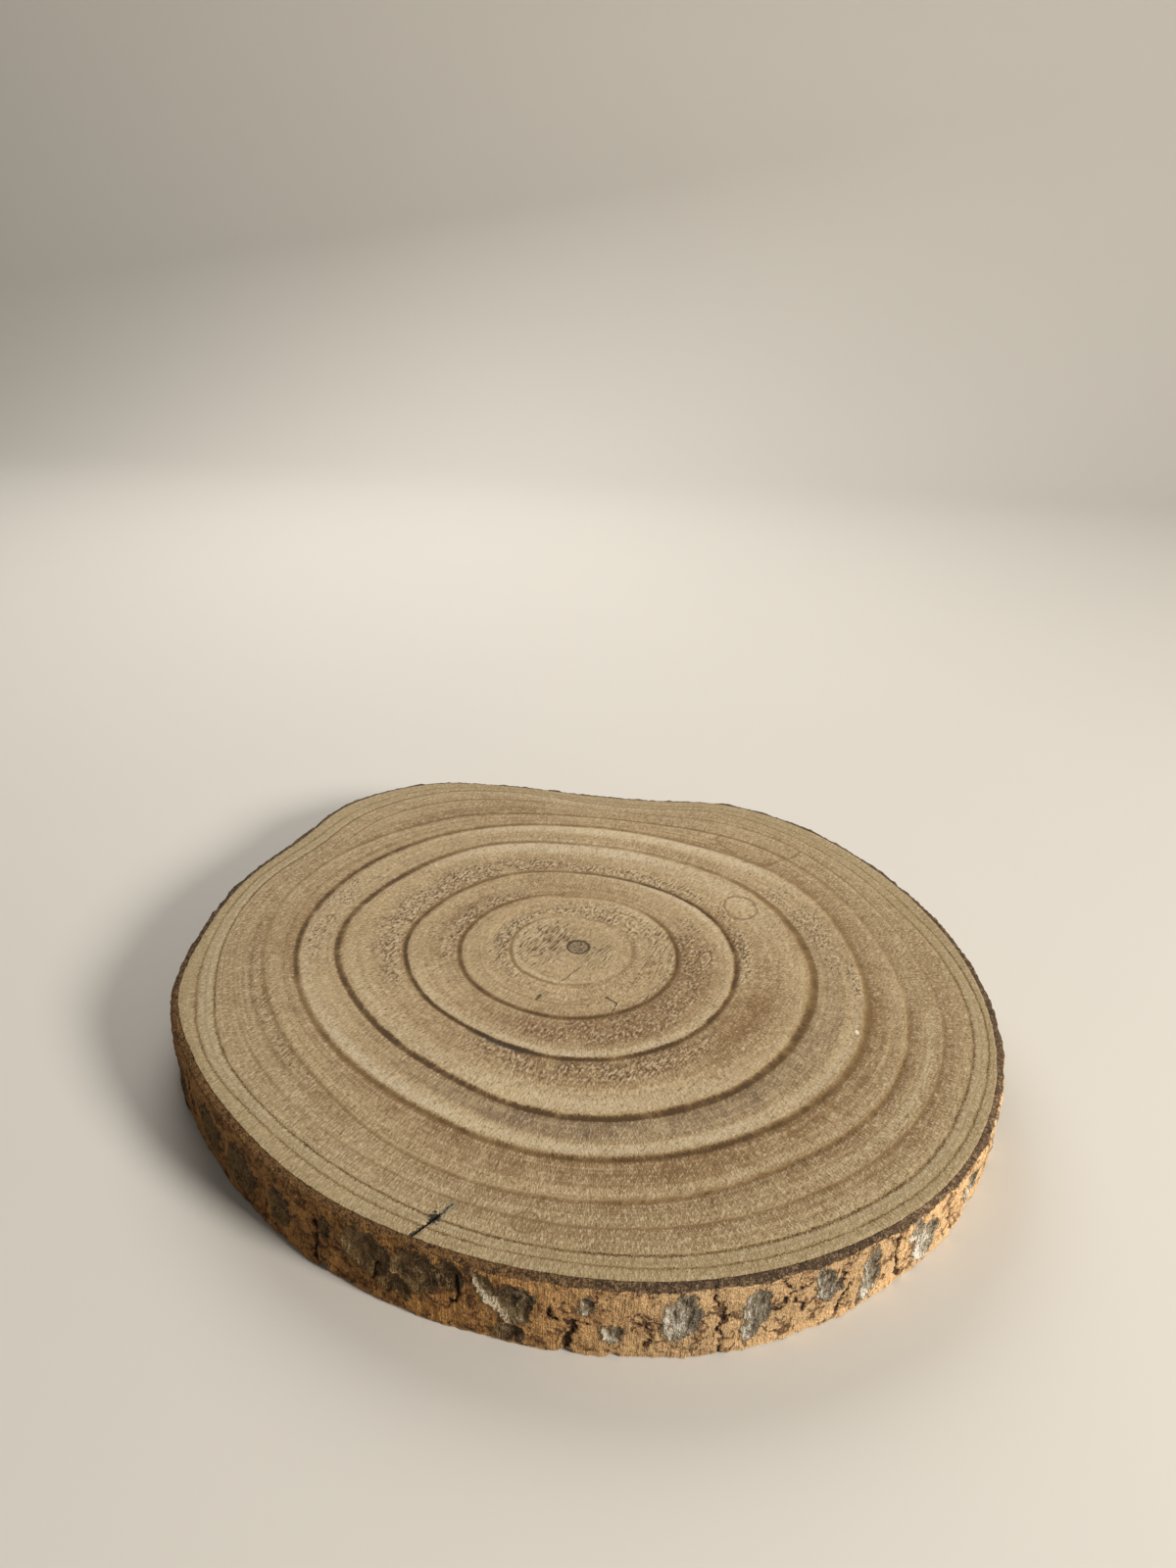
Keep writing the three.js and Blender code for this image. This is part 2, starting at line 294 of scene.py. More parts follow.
class Finish:
    """A material made of nodes."""

    def __init__(self, name):
        self.material = bpy.data.materials.new(name)
        self.material.use_nodes = True
        self.tree = self.material.node_tree
        self.tree.nodes.clear()

    def node(self, kind, settings, *in_order, **by_name):
        """A node of one kind: its settings first, then the values or links of its sockets."""
        made = self.tree.nodes.new("ShaderNode" + kind)
        for name, value in settings.items():
            if name == "stops":
                self.set_stops(made.color_ramp, value)
            else:
                setattr(made, name, value)
        open_sockets = [socket for socket in made.inputs if socket.enabled]
        for socket, value in zip(open_sockets, in_order):
            self.feed(socket, value)
        for name, value in by_name.items():
            wanted = name.replace("_", " ")
            self.feed(next(socket for socket in open_sockets if socket.name == wanted), value)
        outputs = [socket for socket in made.outputs if socket.enabled]
        return Wire(self, outputs[0]) if outputs else None

    def feed(self, socket, value):
        if isinstance(value, Wire):
            self.tree.links.new(value.socket, socket)
        elif socket.type == "RGBA":
            socket.default_value = (*value, 1.0)
        else:
            socket.default_value = value

    @staticmethod
    def set_stops(ramp, stops):
        ramp.elements[0].position = stops[0][0]
        ramp.elements[1].position = stops[-1][0]
        for place, _ in stops[1:-1]:
            ramp.elements.new(place)
        for element, (_, tone) in zip(ramp.elements, stops):
            element.color = (tone, tone, tone, 1.0)

    def ramp(self, value, stops):
        return self.node("ValToRGB", {"stops": stops}, value)

    def smooth(self, value, low, high):
        """0 at low, 1 at high, smooth between; falls where low is the larger."""
        return self.node("MapRange", {"interpolation_type": "SMOOTHSTEP"},
                         Value=value, From_Min=low, From_Max=high)

    def mix(self, share, first, second):
        return self.node("Mix", {"data_type": "RGBA"}, share, first, second)

    def shade(self, colour, amount):
        return self.node("VectorMath", {"operation": "SCALE"}, colour, Scale=amount)

    def stretch(self, place, factors):
        return self.node("VectorMath", {"operation": "MULTIPLY"}, place, factors)

    def join(self, x, y, z):
        return self.node("CombineXYZ", {}, x, y, z)

    def split(self, place):
        first = self.node("SeparateXYZ", {}, place)
        return first, first.also("Y"), first.also("Z")

    def value(self, name):
        return self.node("Attribute", {"attribute_name": name}).also("Fac")

    def cloud(self, place, scale, detail=2.0, roughness=0.5):
        return self.node("TexNoise", {}, place, Scale=scale, Detail=detail, Roughness=roughness)

    def place_in_mm(self):
        """Where a point lies from the pith, in millimetres."""
        place = self.node("TexCoord", {}).also("Object")
        place = self.node("VectorMath", {"operation": "SCALE"}, place, Scale=1.0 / MM)
        return self.node("VectorMath", {"operation": "SUBTRACT"}, place, PITH)

    def done(self, colour, roughness, relief, depth):
        """The surface from a colour, a roughness and a relief whose unit is the given depth in metres."""
        normal = self.node("Bump", {}, Strength=1.0, Distance=depth, Height=relief)
        surface = self.node("BsdfPrincipled", {}, Base_Color=colour, Roughness=roughness, Normal=normal)
        surface.socket.node.inputs["Specular IOR Level"].default_value = 0.25
        self.node("OutputMaterial", {}, surface)
        return self.material


# The photograph's view: turns in degrees, place in millimetres, picture sizes in pixels
CAMERA_PITCH = 28.0
CAMERA_ROLL = 2.3
CAMERA_PLACE = (-1.75, -377.69, 311.63)
FOCAL_PIXELS = 1202.0
PICTURE_HEIGHT_PIXELS = 1600.0
SENSOR_HEIGHT = 36.0


def aim_camera():
    """The photograph's view: looking down and along +Y, a little rolled."""
    pitch = math.radians(CAMERA_PITCH)
    roll = math.radians(CAMERA_ROLL)
    ahead = Vector((0.0, math.cos(pitch), -math.sin(pitch)))
    level_down = Vector((0.0, -math.sin(pitch), -math.cos(pitch)))
    right = Vector((1.0, 0.0, 0.0)) * math.cos(roll) - level_down * math.sin(roll)
    down = Vector((1.0, 0.0, 0.0)) * math.sin(roll) + level_down * math.cos(roll)
    lens = bpy.data.cameras.new("view_lens")
    lens.sensor_fit = "VERTICAL"
    lens.sensor_height = SENSOR_HEIGHT
    lens.lens = FOCAL_PIXELS / PICTURE_HEIGHT_PIXELS * SENSOR_HEIGHT
    camera = bpy.data.objects.new("view_camera", lens)
    turn = Matrix((right, -down, -ahead)).transposed().to_4x4()
    camera.matrix_world = Matrix.Translation(Vector(CAMERA_PLACE) * MM) @ turn
    bpy.context.scene.collection.objects.link(camera)
    bpy.context.scene.camera = camera


# Wood colours, linear
PALE = (0.455, 0.336, 0.183)
TAN = (0.325, 0.222, 0.108)
BROWN = (0.215, 0.122, 0.048)
GREY_BROWN = (0.195, 0.13, 0.074)
BLEACHED = (0.56, 0.47, 0.325)
CREAM = (0.375, 0.29, 0.152)
SPECK_LIGHT = (0.68, 0.555, 0.38)
SPECK_DARK = (0.10, 0.058, 0.027)
LINE_BROWN = (0.19, 0.108, 0.035)
LINE_DARK = (0.062, 0.031, 0.011)
LINE_BLACK = (0.03, 0.019, 0.012)
SPLINTER_AND_HIGHLIGHT = (0.7, 0.58, 0.4)
PIT_BROWN = (0.085, 0.046, 0.02)
PITH_GREY = (0.25, 0.187, 0.112)
CHECK_BLACK = (0.016, 0.014, 0.009)
CHECK_HALO = (0.22, 0.21, 0.14)
STAIN_BROWN = (0.19, 0.115, 0.05)
FLECK_WHITE = (0.8, 0.72, 0.55)
SAW_TURN = 62.0
# The colour ramps over age run for this many years
RAMP_YEARS = 10.0
# Edges of the damp stain near the back, from the pith
TIDE_LINES = [
    [(65.4, 94.4), (62.6, 90.4), (64.6, 84.8), (69.4, 79.2)],
    [(73.4, 70.4), (79.8, 70.4), (84.6, 68.0), (89.4, 72.0), (96.6, 76.0), (101.4, 81.6)],
]


def line_stops(rings):
    """Stops that draw each ring: full across its middle, with sharp sides."""
    stops = []
    for age, strength, width in rings:
        edges = [(-0.5, 0.0), (-0.36, strength), (0.12, strength * 0.9), (0.5, 0.0)]
        stops += [((age + width * out) / RAMP_YEARS, tone) for out, tone in edges]
    return stops


def brown_stops():
    """Stops that fade the early wood of each year from its full brown to none."""
    stops = []
    for year, brown in enumerate(YEAR_BROWN):
        fade = [(0.01, brown), (0.4, brown * 0.65), (0.85, 0.0)]
        stops += [((year + share) / RAMP_YEARS, tone) for share, tone in fade]
    return stops


def sawn_wood_finish():
    wood = Finish("sawn_wood_grain")
    place = wood.place_in_mm()
    x, y, z = wood.split(place)
    reach = (x * x + y * y) ** 0.5
    way_x = x / reach.most(0.01)
    way_y = y / reach.most(0.01)
    above = wood.smooth(z, 14.0, 16.0)
    age = wood.value("age")
    ring_tone = wood.value("ring_tone")
    brown = wood.value("brown")
    torn = wood.value("torn")
    scratched = wood.value("scratched")

    def toward(degrees):
        return way_x * math.cos(math.radians(degrees)) + way_y * math.sin(math.radians(degrees))

    def oval(middle_x, middle_y, half_x, half_y):
        across = (x - middle_x) / half_x
        along = (y - middle_y) / half_y
        return (across * across + along * along) ** 0.5

    def from_stroke(start, end):
        """How far a point is from a straight stroke."""
        run = end[0] - start[0]
        rise = end[1] - start[1]
        beside = x - start[0]
        over = y - start[1]
        share = (beside * run + over * rise) / (run * run + rise * rise)
        share = share.most(0.0).least(1.0)
        beside = beside - share * run
        over = over - share * rise
        return (beside * beside + over * over) ** 0.5

    def from_route(points):
        far = from_stroke(points[0], points[1])
        for start, end in zip(points[1:], points[2:]):
            far = far.least(from_stroke(start, end))
        return far

    def fibres(count):
        """Short fibres along the radius, a number of them to each radian."""
        return wood.cloud(wood.join(way_x * count, way_y * count, reach * 0.55), 1.0, 3.0, 0.6)

    # Grain at every scale
    drift = wood.cloud(place, 1 / 45, 2.0)
    mottle = wood.cloud(place, 1 / 9, 3.0, 0.6)
    grain = wood.cloud(place, 1 / 0.8, 3.0, 0.65)
    fibre = fibres(60)
    for count, start in ((150, 32), (320, 82)):
        fibre = fibre + (fibres(count) - fibre) * wood.smooth(reach, start, start * 1.3)
    ray = wood.cloud(wood.join(way_x * 45, way_y * 45, reach * 0.05), 1.0, 2.5, 0.65)
    band = wood.cloud(wood.join(way_x * 1.3, way_y * 1.3, age * 12), 1.0, 3.0, 0.65)
    saw_x = math.cos(math.radians(SAW_TURN))
    saw_y = math.sin(math.radians(SAW_TURN))
    saw_along = x * saw_x + y * saw_y
    saw_across = y * saw_x - x * saw_y
    saw_grain = wood.cloud(wood.join(saw_along * 0.25, saw_across * 1.5, z), 1.0, 3.0, 0.65)
    scratch = wood.cloud(wood.join(saw_along * 0.22, saw_across * 1.35, z + 40.0), 1.0, 2.0, 0.55)
    crumb = wood.cloud(wood.join(saw_along * 0.5, saw_across * 0.95, z + 80.0), 1.0, 3.0, 0.65)

    # Rings
    ragged = 0.11 + wood.smooth(age, 3.4, 4.6) * 0.19
    aged = age + (drift - 0.5) * 0.06 + (mottle - 0.5) * 0.05 + (fibre - 0.5) * ragged
    inner = wood.ramp(aged / RAMP_YEARS, line_stops(INNER_RINGS))
    outer = wood.ramp(aged / RAMP_YEARS, line_stops(OUTER_RINGS))
    dotted = (grain - 0.5) * wood.smooth(age, 5.4, 6.0) * 4.0
    patchy = 1.0 + (mottle - 0.5) * 1.4 + (ray - 0.5) * 0.8 + (fibre - 0.5) * 1.2 + dotted
    faint = wood.ramp(aged / RAMP_YEARS, line_stops(FAINT_RINGS))
    line = (inner.most(outer).most(faint) * ring_tone * patchy).least(1.0).most(0.0)

    # Colour of the wood between the rings
    banded = (band - 0.5) * 2.0 + (drift - 0.5) * 1.2 + (mottle - 0.5) * 0.8
    colour = wood.mix(wood.smooth(banded, -0.5, 0.5), PALE, TAN)
    sap = wood.smooth(age + (mottle - 0.5) * 0.4, 7.7, 8.15)
    colour = wood.mix(sap * 0.6, colour, CREAM)
    uneven = 1.0 + (mottle - 0.5) * 2.0 + (ray - 0.5) * 1.8 + (band - 0.5) * 2.0 + (grain - 0.5) * 2.0
    deep = (brown * 0.75 + wood.ramp(aged / RAMP_YEARS, brown_stops()) * 0.8) * uneven
    greyed = wood.smooth(age, 3.95, 4.1) * wood.smooth(age, 5.0, 4.8)
    colour = wood.mix(deep.least(0.9).most(0.0), colour, wood.mix(greyed, BROWN, GREY_BROWN))
    colour = wood.mix((deep * -1.0).least(0.8).most(0.0), colour, BLEACHED)

    colour = wood.shade(colour, 1.0 - wood.smooth(age, 5.0, 6.6) * 0.12)

    # Fibres, torn grain and saw scratches, with painted highlight beside the scratches
    torn = torn * wood.smooth(mottle + (drift - 0.5) * 0.4, 0.36, 0.56)
    weave = fibre * 0.42 + saw_grain * 0.3 + grain * 0.3 - deep.least(1.0).most(-1.0) * 0.02
    plain = 1.0 - sap * 0.3
    colour = wood.mix(wood.smooth(weave, 0.51, 0.59) * plain * 0.55, colour, SPECK_LIGHT)
    colour = wood.mix(wood.smooth(weave, 0.49, 0.41) * plain * 0.65, colour, SPECK_DARK)
    scored = wood.smooth(scratched, 0.02, 0.2)
    opened = wood.smooth(torn, 0.02, 0.2)
    sawn = wood.smooth(scratch + scratched * 0.1, 0.63, 0.66) * scored
    # Pale splinters in the torn grain, and painted highlight beside the saw scratches.
    splinters_and_highlight = (wood.smooth(crumb + torn * 0.08, 0.58, 0.62) * opened).most(
        wood.smooth(scratch - scratched * 0.08, 0.38, 0.34) * scored * 0.7)
    colour = wood.mix(splinters_and_highlight * 0.5, colour, SPLINTER_AND_HIGHLIGHT)
    pits = wood.smooth(crumb - torn * 0.06, 0.405, 0.375) * opened
    colour = wood.mix(pits.most(sawn) * 0.85, colour, PIT_BROWN)
    colour = wood.mix(wood.smooth(line, 0.0, 0.5) * 0.85, colour, LINE_BROWN)
    colour = wood.mix(wood.smooth(line, 0.4, 1.0) * 0.92, colour, LINE_DARK)
    black = wood.smooth(toward(246), 0.965, 0.995) * wood.smooth(abs(aged - 3.03), 0.06, 0.02)
    colour = wood.mix(black * 0.85, colour, LINE_BLACK)

    # Pith
    pith_reach = reach + (grain - 0.5) * 0.9
    pith = wood.smooth(pith_reach, 4.4, 4.0)
    pith_tone = (grain - 0.5) * 5.0 + (crumb - 0.5) * 3.0 + 0.95
    colour = wood.mix(pith * 0.85, colour, wood.shade(PITH_GREY, pith_tone))
    pith_rim = wood.smooth(abs(pith_reach - 4.4), 0.75, 0.25)
    colour = wood.mix(pith_rim * 0.85, colour, LINE_DARK)

    # Marks on the upper face
    wander = (mottle - 0.5) * 1.4 + (grain - 0.5) * 0.8
    from_check = from_stroke(*CHECK)
    outer_half = wood.smooth(reach, 143.5, 147.0)
    halo = wood.smooth(from_stroke(CHECK[0], (-39.2, -141.0)) + wander * 0.6, 2.6, 0.3) * above
    colour = wood.mix(halo * 0.55, colour, CHECK_HALO)
    crack = wood.smooth(from_check + (mottle - 0.5) * 2.5 + (grain - 0.5) * 2.0, 0.75, 0.2) * above
    crack = crack * (outer_half + wood.smooth(grain + crumb, 0.94, 1.12)).least(1.0)
    blot = wood.smooth(oval(-39.4, -139.8, 1.9, 2.4) + (grain - 0.5) * 2.5, 1.15, 0.7) * above
    colour = wood.mix(crack.most(blot) * 0.93, colour, CHECK_BLACK)
    oval_stain = oval(-12.0, -140.2, 4.2, 3.9) + (mottle - 0.5) * 0.3
    colour = wood.mix(wood.smooth(oval_stain, 1.05, 0.85) * above * 0.26, colour, STAIN_BROWN)
    oval_rim = wood.smooth(abs(oval_stain - 1.0), 0.16, 0.04) * above
    ring_far = oval(68.9, 32.4, 7.0, 8.8) + (mottle - 0.5) * 0.8 - 1.0
    ring_stain = wood.smooth(abs(ring_far), 0.12, 0.03) * above
    from_tide = from_route(TIDE_LINES[0]).least(from_route(TIDE_LINES[1]))
    tide = wood.smooth(from_tide + wander * 0.9, 1.0, 0.3) * above
    marks = oval_rim.most(ring_stain).most(tide * 0.9)
    colour = wood.mix(marks * 0.75, colour, STAIN_BROWN)
    dot = from_stroke((-14.8, -34.4), (-13.6, -31.8)) + (grain - 0.5) * 0.6
    nick = from_stroke((11.5, -31.7), (15.6, -35.3)) + (grain - 0.5) * 1.6
    nick = nick.least(from_stroke((15.6, -35.3), (13.9, -40.0)) + (grain - 0.5) * 5.0 + 0.25)
    score = from_stroke((-5.5, -22.5), (1.5, -13.0)).least(from_stroke((18.0, -31.0), (29.0, -5.0)) + 0.25)
    score = score + (grain - 0.5) * 1.6
    cuts = wood.smooth(dot, 0.8, 0.4).most(wood.smooth(nick, 0.5, 0.15))
    cuts = cuts.most(wood.smooth(score, 0.5, 0.15) * 0.6)
    colour = wood.mix(cuts * above * 0.75, colour, LINE_BLACK)
    fleck = wood.smooth(oval(104.4, -46.3, 0.7, 1.3) + (grain - 0.5), 1.1, 0.8) * above
    colour = wood.mix(fleck, colour, FLECK_WHITE)

    relief = grain * 0.7 + fibre * 0.8 + crumb * torn * 3.0 - line * 0.4
    relief = relief - sawn - crack * 2.0 - cuts
    roughness = 0.74 + (grain - 0.5) * 0.2
    return wood.done(colour, roughness, relief, 0.45 * MM)


def wood_columns():
    """Even angles round the slice, with finer ones across the drying check."""
    even = np.arange(0.0, 360.0, 360.0 / 540.0)
    even = even[np.abs(even - CHECK_TURN) > 2.0]
    fine = np.arange(CHECK_TURN - 1.8, CHECK_TURN + 1.9, 0.2)
    return np.sort(np.concatenate([even, fine]))


def wood_row_ages(spacing, with_rings):
    """Ages for rows of points from the pith to the bark, about evenly apart."""
    degrees = np.arange(0.0, 360.0, 3.0)
    ages = np.linspace(0.0, FULL_AGE, 721)
    means = np.array([reach_at(age, degrees).mean() for age in ages])
    wanted = list(np.arange(spacing * 0.6, means[-1], spacing))
    if with_rings:
        for age in RING_TONE:
            wanted += list(np.interp(age, ages, means) + np.array([-0.7, 0.0, 0.5, 1.3]))
    wanted = [reach for reach in sorted(wanted) if 0.4 < reach < means[-1] - 0.5]
    kept = [wanted[0]]
    for reach in wanted[1:]:
        if reach - kept[-1] > 0.38:
            kept.append(reach)
    return list(np.interp(kept, means, ages)) + [FULL_AGE]


def wood_sink(age, reach, degrees, points, upper):
    """How far the sawn face lies below its level."""
    sink = 0.05 + 0.05 * ripple(points, 22.0) + 0.05 * ripple(points, 3.0, 2)
    for ring in RING_TONE:
        width = 0.8 / 22.0 if ring < 6 else 0.8 / 9.0
        sink = sink + 0.2 * ring_tone_at(age, degrees) * np.exp(-((age - ring) / width) ** 2)
    sink = sink + 0.25 * patches_at(TORN_PATCHES, age, degrees) * (0.5 + ripple(points, 2.2, 2))
    sink = sink + 0.35 * (1.0 - step_up(reach, 3.2, 5.2))
    if upper:
        start = np.array(CHECK[0])
        run = np.array(CHECK[1]) - start
        away = points[..., :2] - np.array(PITH[:2]) - start
        share = np.clip(away @ run / (run @ run), 0.0, 1.0)
        far = np.linalg.norm(away - share[..., None] * run, axis=-1)
        sink = sink + 1.2 * step_up(share, 0.0, 0.4) * (1.0 - step_up(far, 0.1, 0.6))
    return np.maximum(sink, 0.0)


# Flat layout of the sawn wood: the middle and half size of each face in it, and the reach that fills it
PITH_SINK = 0.4
LAYOUT_REACH = 175.0
UPPER_MIDDLE = 0.37
UPPER_HALF = 0.36
LOWER_MIDDLE = 0.785
LOWER_HALF = 0.205
SIDE_STRIP = 0.006


def make_sawn_wood(finish):
    degrees = wood_columns()
    columns = len(degrees)
    edge = reach_at(FULL_AGE, degrees)
    ragged = 0.25 * ripple(around(edge, degrees, THICKNESS), 2.5, 2)
    upper_ages = wood_row_ages(1.3, True)
    lower_ages = wood_row_ages(4.0, False)[::-1]
    rows = []
    for age in upper_ages:
        reach = reach_at(age, degrees) + ragged * step_up(age, 8.5, 9.0)
        points = around(reach, degrees, THICKNESS)
        sink = wood_sink(age, reach, degrees, points, True)
        points[..., 2] = THICKNESS - sink - 0.12 * (age == FULL_AGE)
        rows.append(points)
    for age in lower_ages:
        share = 1.0 - lean_at(degrees, 0.0) / edge
        reach = reach_at(age, degrees) * share
        points = around(reach, degrees, 0.0)
        points[..., 2] = wood_sink(age, reach, degrees, points, False)
        rows.append(points)
    upper_count = len(upper_ages)
    grid = np.array(rows)
    middles = [[PITH[0], PITH[1], THICKNESS - PITH_SINK], [PITH[0], PITH[1], PITH_SINK]]
    points = np.concatenate([grid.reshape(-1, 3), middles])
    row_ages = upper_ages + lower_ages

    def on_rows(patches):
        return np.array([patches_at(patches, age, degrees) for age in row_ages])

    fields = {
        "age": [np.full(columns, age) for age in row_ages],
        "ring_tone": [ring_tone_at(age, degrees) for age in row_ages],
        "brown": on_rows(BROWN_PATCHES) - on_rows(PALE_PATCHES),
        "torn": on_rows(TORN_PATCHES),
        "scratched": on_rows(SCRATCHED_PATCHES),
    }
    values = {name: np.append(np.ravel(field), [0.0, 0.0]) for name, field in fields.items()}
    total = len(rows)
    faces = quads_between(total, columns, False)
    upper_middle = total * columns
    lower_middle = upper_middle + 1

    # Flat layout: the upper face large in one corner, the underside small in the other
    def upper_layout(index, grow=0.0):
        offset = (points[index, :2] - np.array(PITH[:2])) / LAYOUT_REACH * UPPER_HALF
        length = np.maximum(np.linalg.norm(offset, axis=-1, keepdims=True), 1e-9)
        return UPPER_MIDDLE + offset * (1.0 + grow / length)

    def lower_layout(index):
        offset = (points[index, :2] - np.array(PITH[:2])) / LAYOUT_REACH * LOWER_HALF
        return LOWER_MIDDLE + offset * np.array([-1.0, 1.0])

    face_rows = np.repeat(np.arange(total - 1), columns)
    layout = np.empty((len(faces), 4, 2))
    on_top = face_rows < upper_count - 1
    on_side = face_rows == upper_count - 1
    below = face_rows > upper_count - 1
    layout[on_top] = upper_layout(faces[on_top])
    layout[below] = lower_layout(faces[below])
    side = faces[on_side]
    layout[on_side] = upper_layout(side)
    layout[on_side, 1:3] = upper_layout(side[:, 1:3], SIDE_STRIP)
    column = np.arange(columns)
    beside = (column + 1) % columns
    upper_fan = np.stack([np.full(columns, upper_middle), column, beside], axis=-1)
    last = (total - 1) * columns
    lower_fan = np.stack([last + column, np.full(columns, lower_middle), last + beside], axis=-1)
    flat = np.concatenate([layout.reshape(-1, 2), upper_layout(upper_fan).reshape(-1, 2),
                           lower_layout(lower_fan).reshape(-1, 2)])
    every_face = faces.tolist() + upper_fan.tolist() + lower_fan.tolist()
    return make_piece("sawn_wood", points, every_face, flat, values, finish)


# Bark plates: angle, middle level, half width, half height, tilt, tone
FRONT_PLATES = [
    (217.0, 15.0, 8.0, 9.0, 0, 0.25), (225.5, 15.0, 8.5, 9.0, 0, 0.25), (234.0, 15.0, 5.0, 7.0, 0, 0.25),
    (241.5, 18.5, 2.6, 3.6, 0, 0.2), (247.5, 19.0, 9.0, 8.5, 0, 0.3), (253.8, 19.5, 10.0, 8.5, 10, 0.15),
    (251.0, 10.5, 5.6, 4.2, 0, 0.1), (257.6, 22.0, 5.0, 6.0, 0, 0.05), (262.2, 21.0, 3.4, 8.0, 32, 0.7),
    (264.2, 15.5, 3.8, 5.4, 20, 0.55), (264.6, 21.0, 3.6, 4.6, 0, 0.0), (266.0, 17.5, 2.6, 8.0, 0, 0.35),
    (264.2, 4.5, 5.2, 3.6, 0, 0.15), (272.5, 21.5, 2.4, 4.8, 0, 0.45), (275.3, 10.0, 3.4, 3.4, 0, 0.6),
    (282.0, 17.5, 5.1, 9.8, 0, 0.6), (289.9, 17.5, 4.2, 8.4, 0, 0.55), (289.3, 9.5, 2.8, 5.4, 0, 0.7),
    (297.5, 20.0, 3.4, 9.0, 18, 0.5), (299.2, 17.5, 2.4, 2.8, 0, 0.4), (303.4, 14.5, 3.8, 11.8, 0, 0.65),
    (309.2, 24.0, 2.4, 5.0, 12, 0.65), (311.9, 13.5, 5.4, 10.0, 12, 0.7), (321.2, 18.0, 4.6, 6.4, 0, 0.55),
]
# Bark cracks: a half width, then points of angle and level
FRONT_CRACKS = [
    (0.42, [(285.2, 30), (285.4, 25), (285.8, 20.5), (286.4, 20), (286.2, 15), (285.8, 12),
            (286.4, 8), (286, 2), (286.3, 0)]),
    (0.35, [(286.3, 17), (288, 17.5)]),
    (0.45, [(292.5, 26), (293.5, 22), (293, 18), (292.7, 15)]),
    (0.35, [(293.4, 21.8), (295.5, 22.3)]),
    (0.45, [(294, 19), (294.8, 15), (295, 11)]),
    (0.45, [(299.3, 24), (299.8, 20), (299.6, 17)]),
    (0.5, [(300.5, 15), (300.3, 12), (299.8, 6), (299.6, 4)]),
    (0.4, [(301.3, 28.5), (301, 26)]),
    (0.6, [(306.3, 27), (306.7, 20), (307.4, 13), (307.9, 7), (308.6, 3)]),
    (0.3, [(279, 16), (277.5, 15), (278.8, 14), (279.2, 10), (278.6, 5)]),
    (0.25, [(277.2, 15.3), (280, 15.5)]),
    (0.5, [(316, 19), (316.7, 14), (317.8, 8), (318.7, 2)]),
    (0.35, [(291.4, 16), (292.8, 15.5)]),
    (0.85, [(270.4, 15), (271.3, 12.5), (271.2, 10.5), (270.7, 8), (270.3, 4), (270, 1)]),
    (0.45, [(271.3, 13.5), (272.7, 13.6)]),
    (0.7, [(258.3, 21), (258.8, 17), (258.5, 13), (257.8, 10.5)]),
    (0.5, [(268.8, 19), (268.5, 15), (269.5, 14.5)]),
    (0.7, [(240.1, 20), (240.2, 12), (239.8, 4), (240.5, 0)]),
    (0.5, [(231, 12), (230.7, 7), (230.5, 2)]),
    (0.4, [(248.6, 9), (248.8, 16)]),
]
# Chips in the bark's lower edge: angle, half width, height
CHIPS = [(240.8, 3.0, 2.5), (270.6, 2.6, 2.0), (275.4, 2.4, 1.5), (308.7, 2.2, 1.4), (312.0, 1.6, 0.9)]
BARK_WIDTH = 3.0
# Levels of the cut rim: at its root under the wood's edge, near the wood, and at the brow
RIM_ROOT = 29.45
RIM_LEVEL = 29.65
BROW_LEVEL = 28.9
TUCKED_UNDER = 0.5
BARK_COLUMNS = 1440
SIDE_ROWS = 44
ARC_PER_DEGREE = 2.75


def rest_of_bark():
    """Plates and cracks for the sides and the back, by a seeded rule."""
    draw = random.Random(11)
    plates = []
    cracks = []
    turn = 330.0
    while turn < 569.0:
        if draw.random() < 0.72:
            height = draw.uniform(4.0, 10.0)
            plates.append((turn, draw.uniform(10.0, 21.0), draw.uniform(2.4, 6.0), height,
                           draw.uniform(-15, 15), draw.uniform(0.2, 0.75)))
        else:
            upper = (draw.uniform(17.0, 24.0), draw.uniform(2.0, 3.5), draw.uniform(2.0, 4.0))
            plates.append((turn, *upper, 0, 0.4))
            lower = (draw.uniform(5.0, 11.0), draw.uniform(2.0, 4.5), draw.uniform(2.0, 4.0))
            plates.append((turn + 1.0, *lower, 0, 0.5))
        split = turn + draw.uniform(2.4, 3.6)
        level = draw.uniform(18.0, 29.0)
        route = []
        while level > draw.uniform(0.0, 8.0):
            route.append((split, level))
            split += draw.uniform(-0.5, 0.5)
            level -= draw.uniform(2.5, 5.0)
        if len(route) > 1:
            cracks.append((draw.uniform(0.35, 0.7), route))
        if draw.random() < 0.4 and len(route) > 2:
            fork_turn, fork_level = route[1]
            tip = (fork_turn + draw.choice([-1.8, 1.8]), fork_level + draw.uniform(-1, 1))
            cracks.append((0.35, [route[1], tip]))
        turn += draw.uniform(4.6, 7.4)
    return plates, cracks


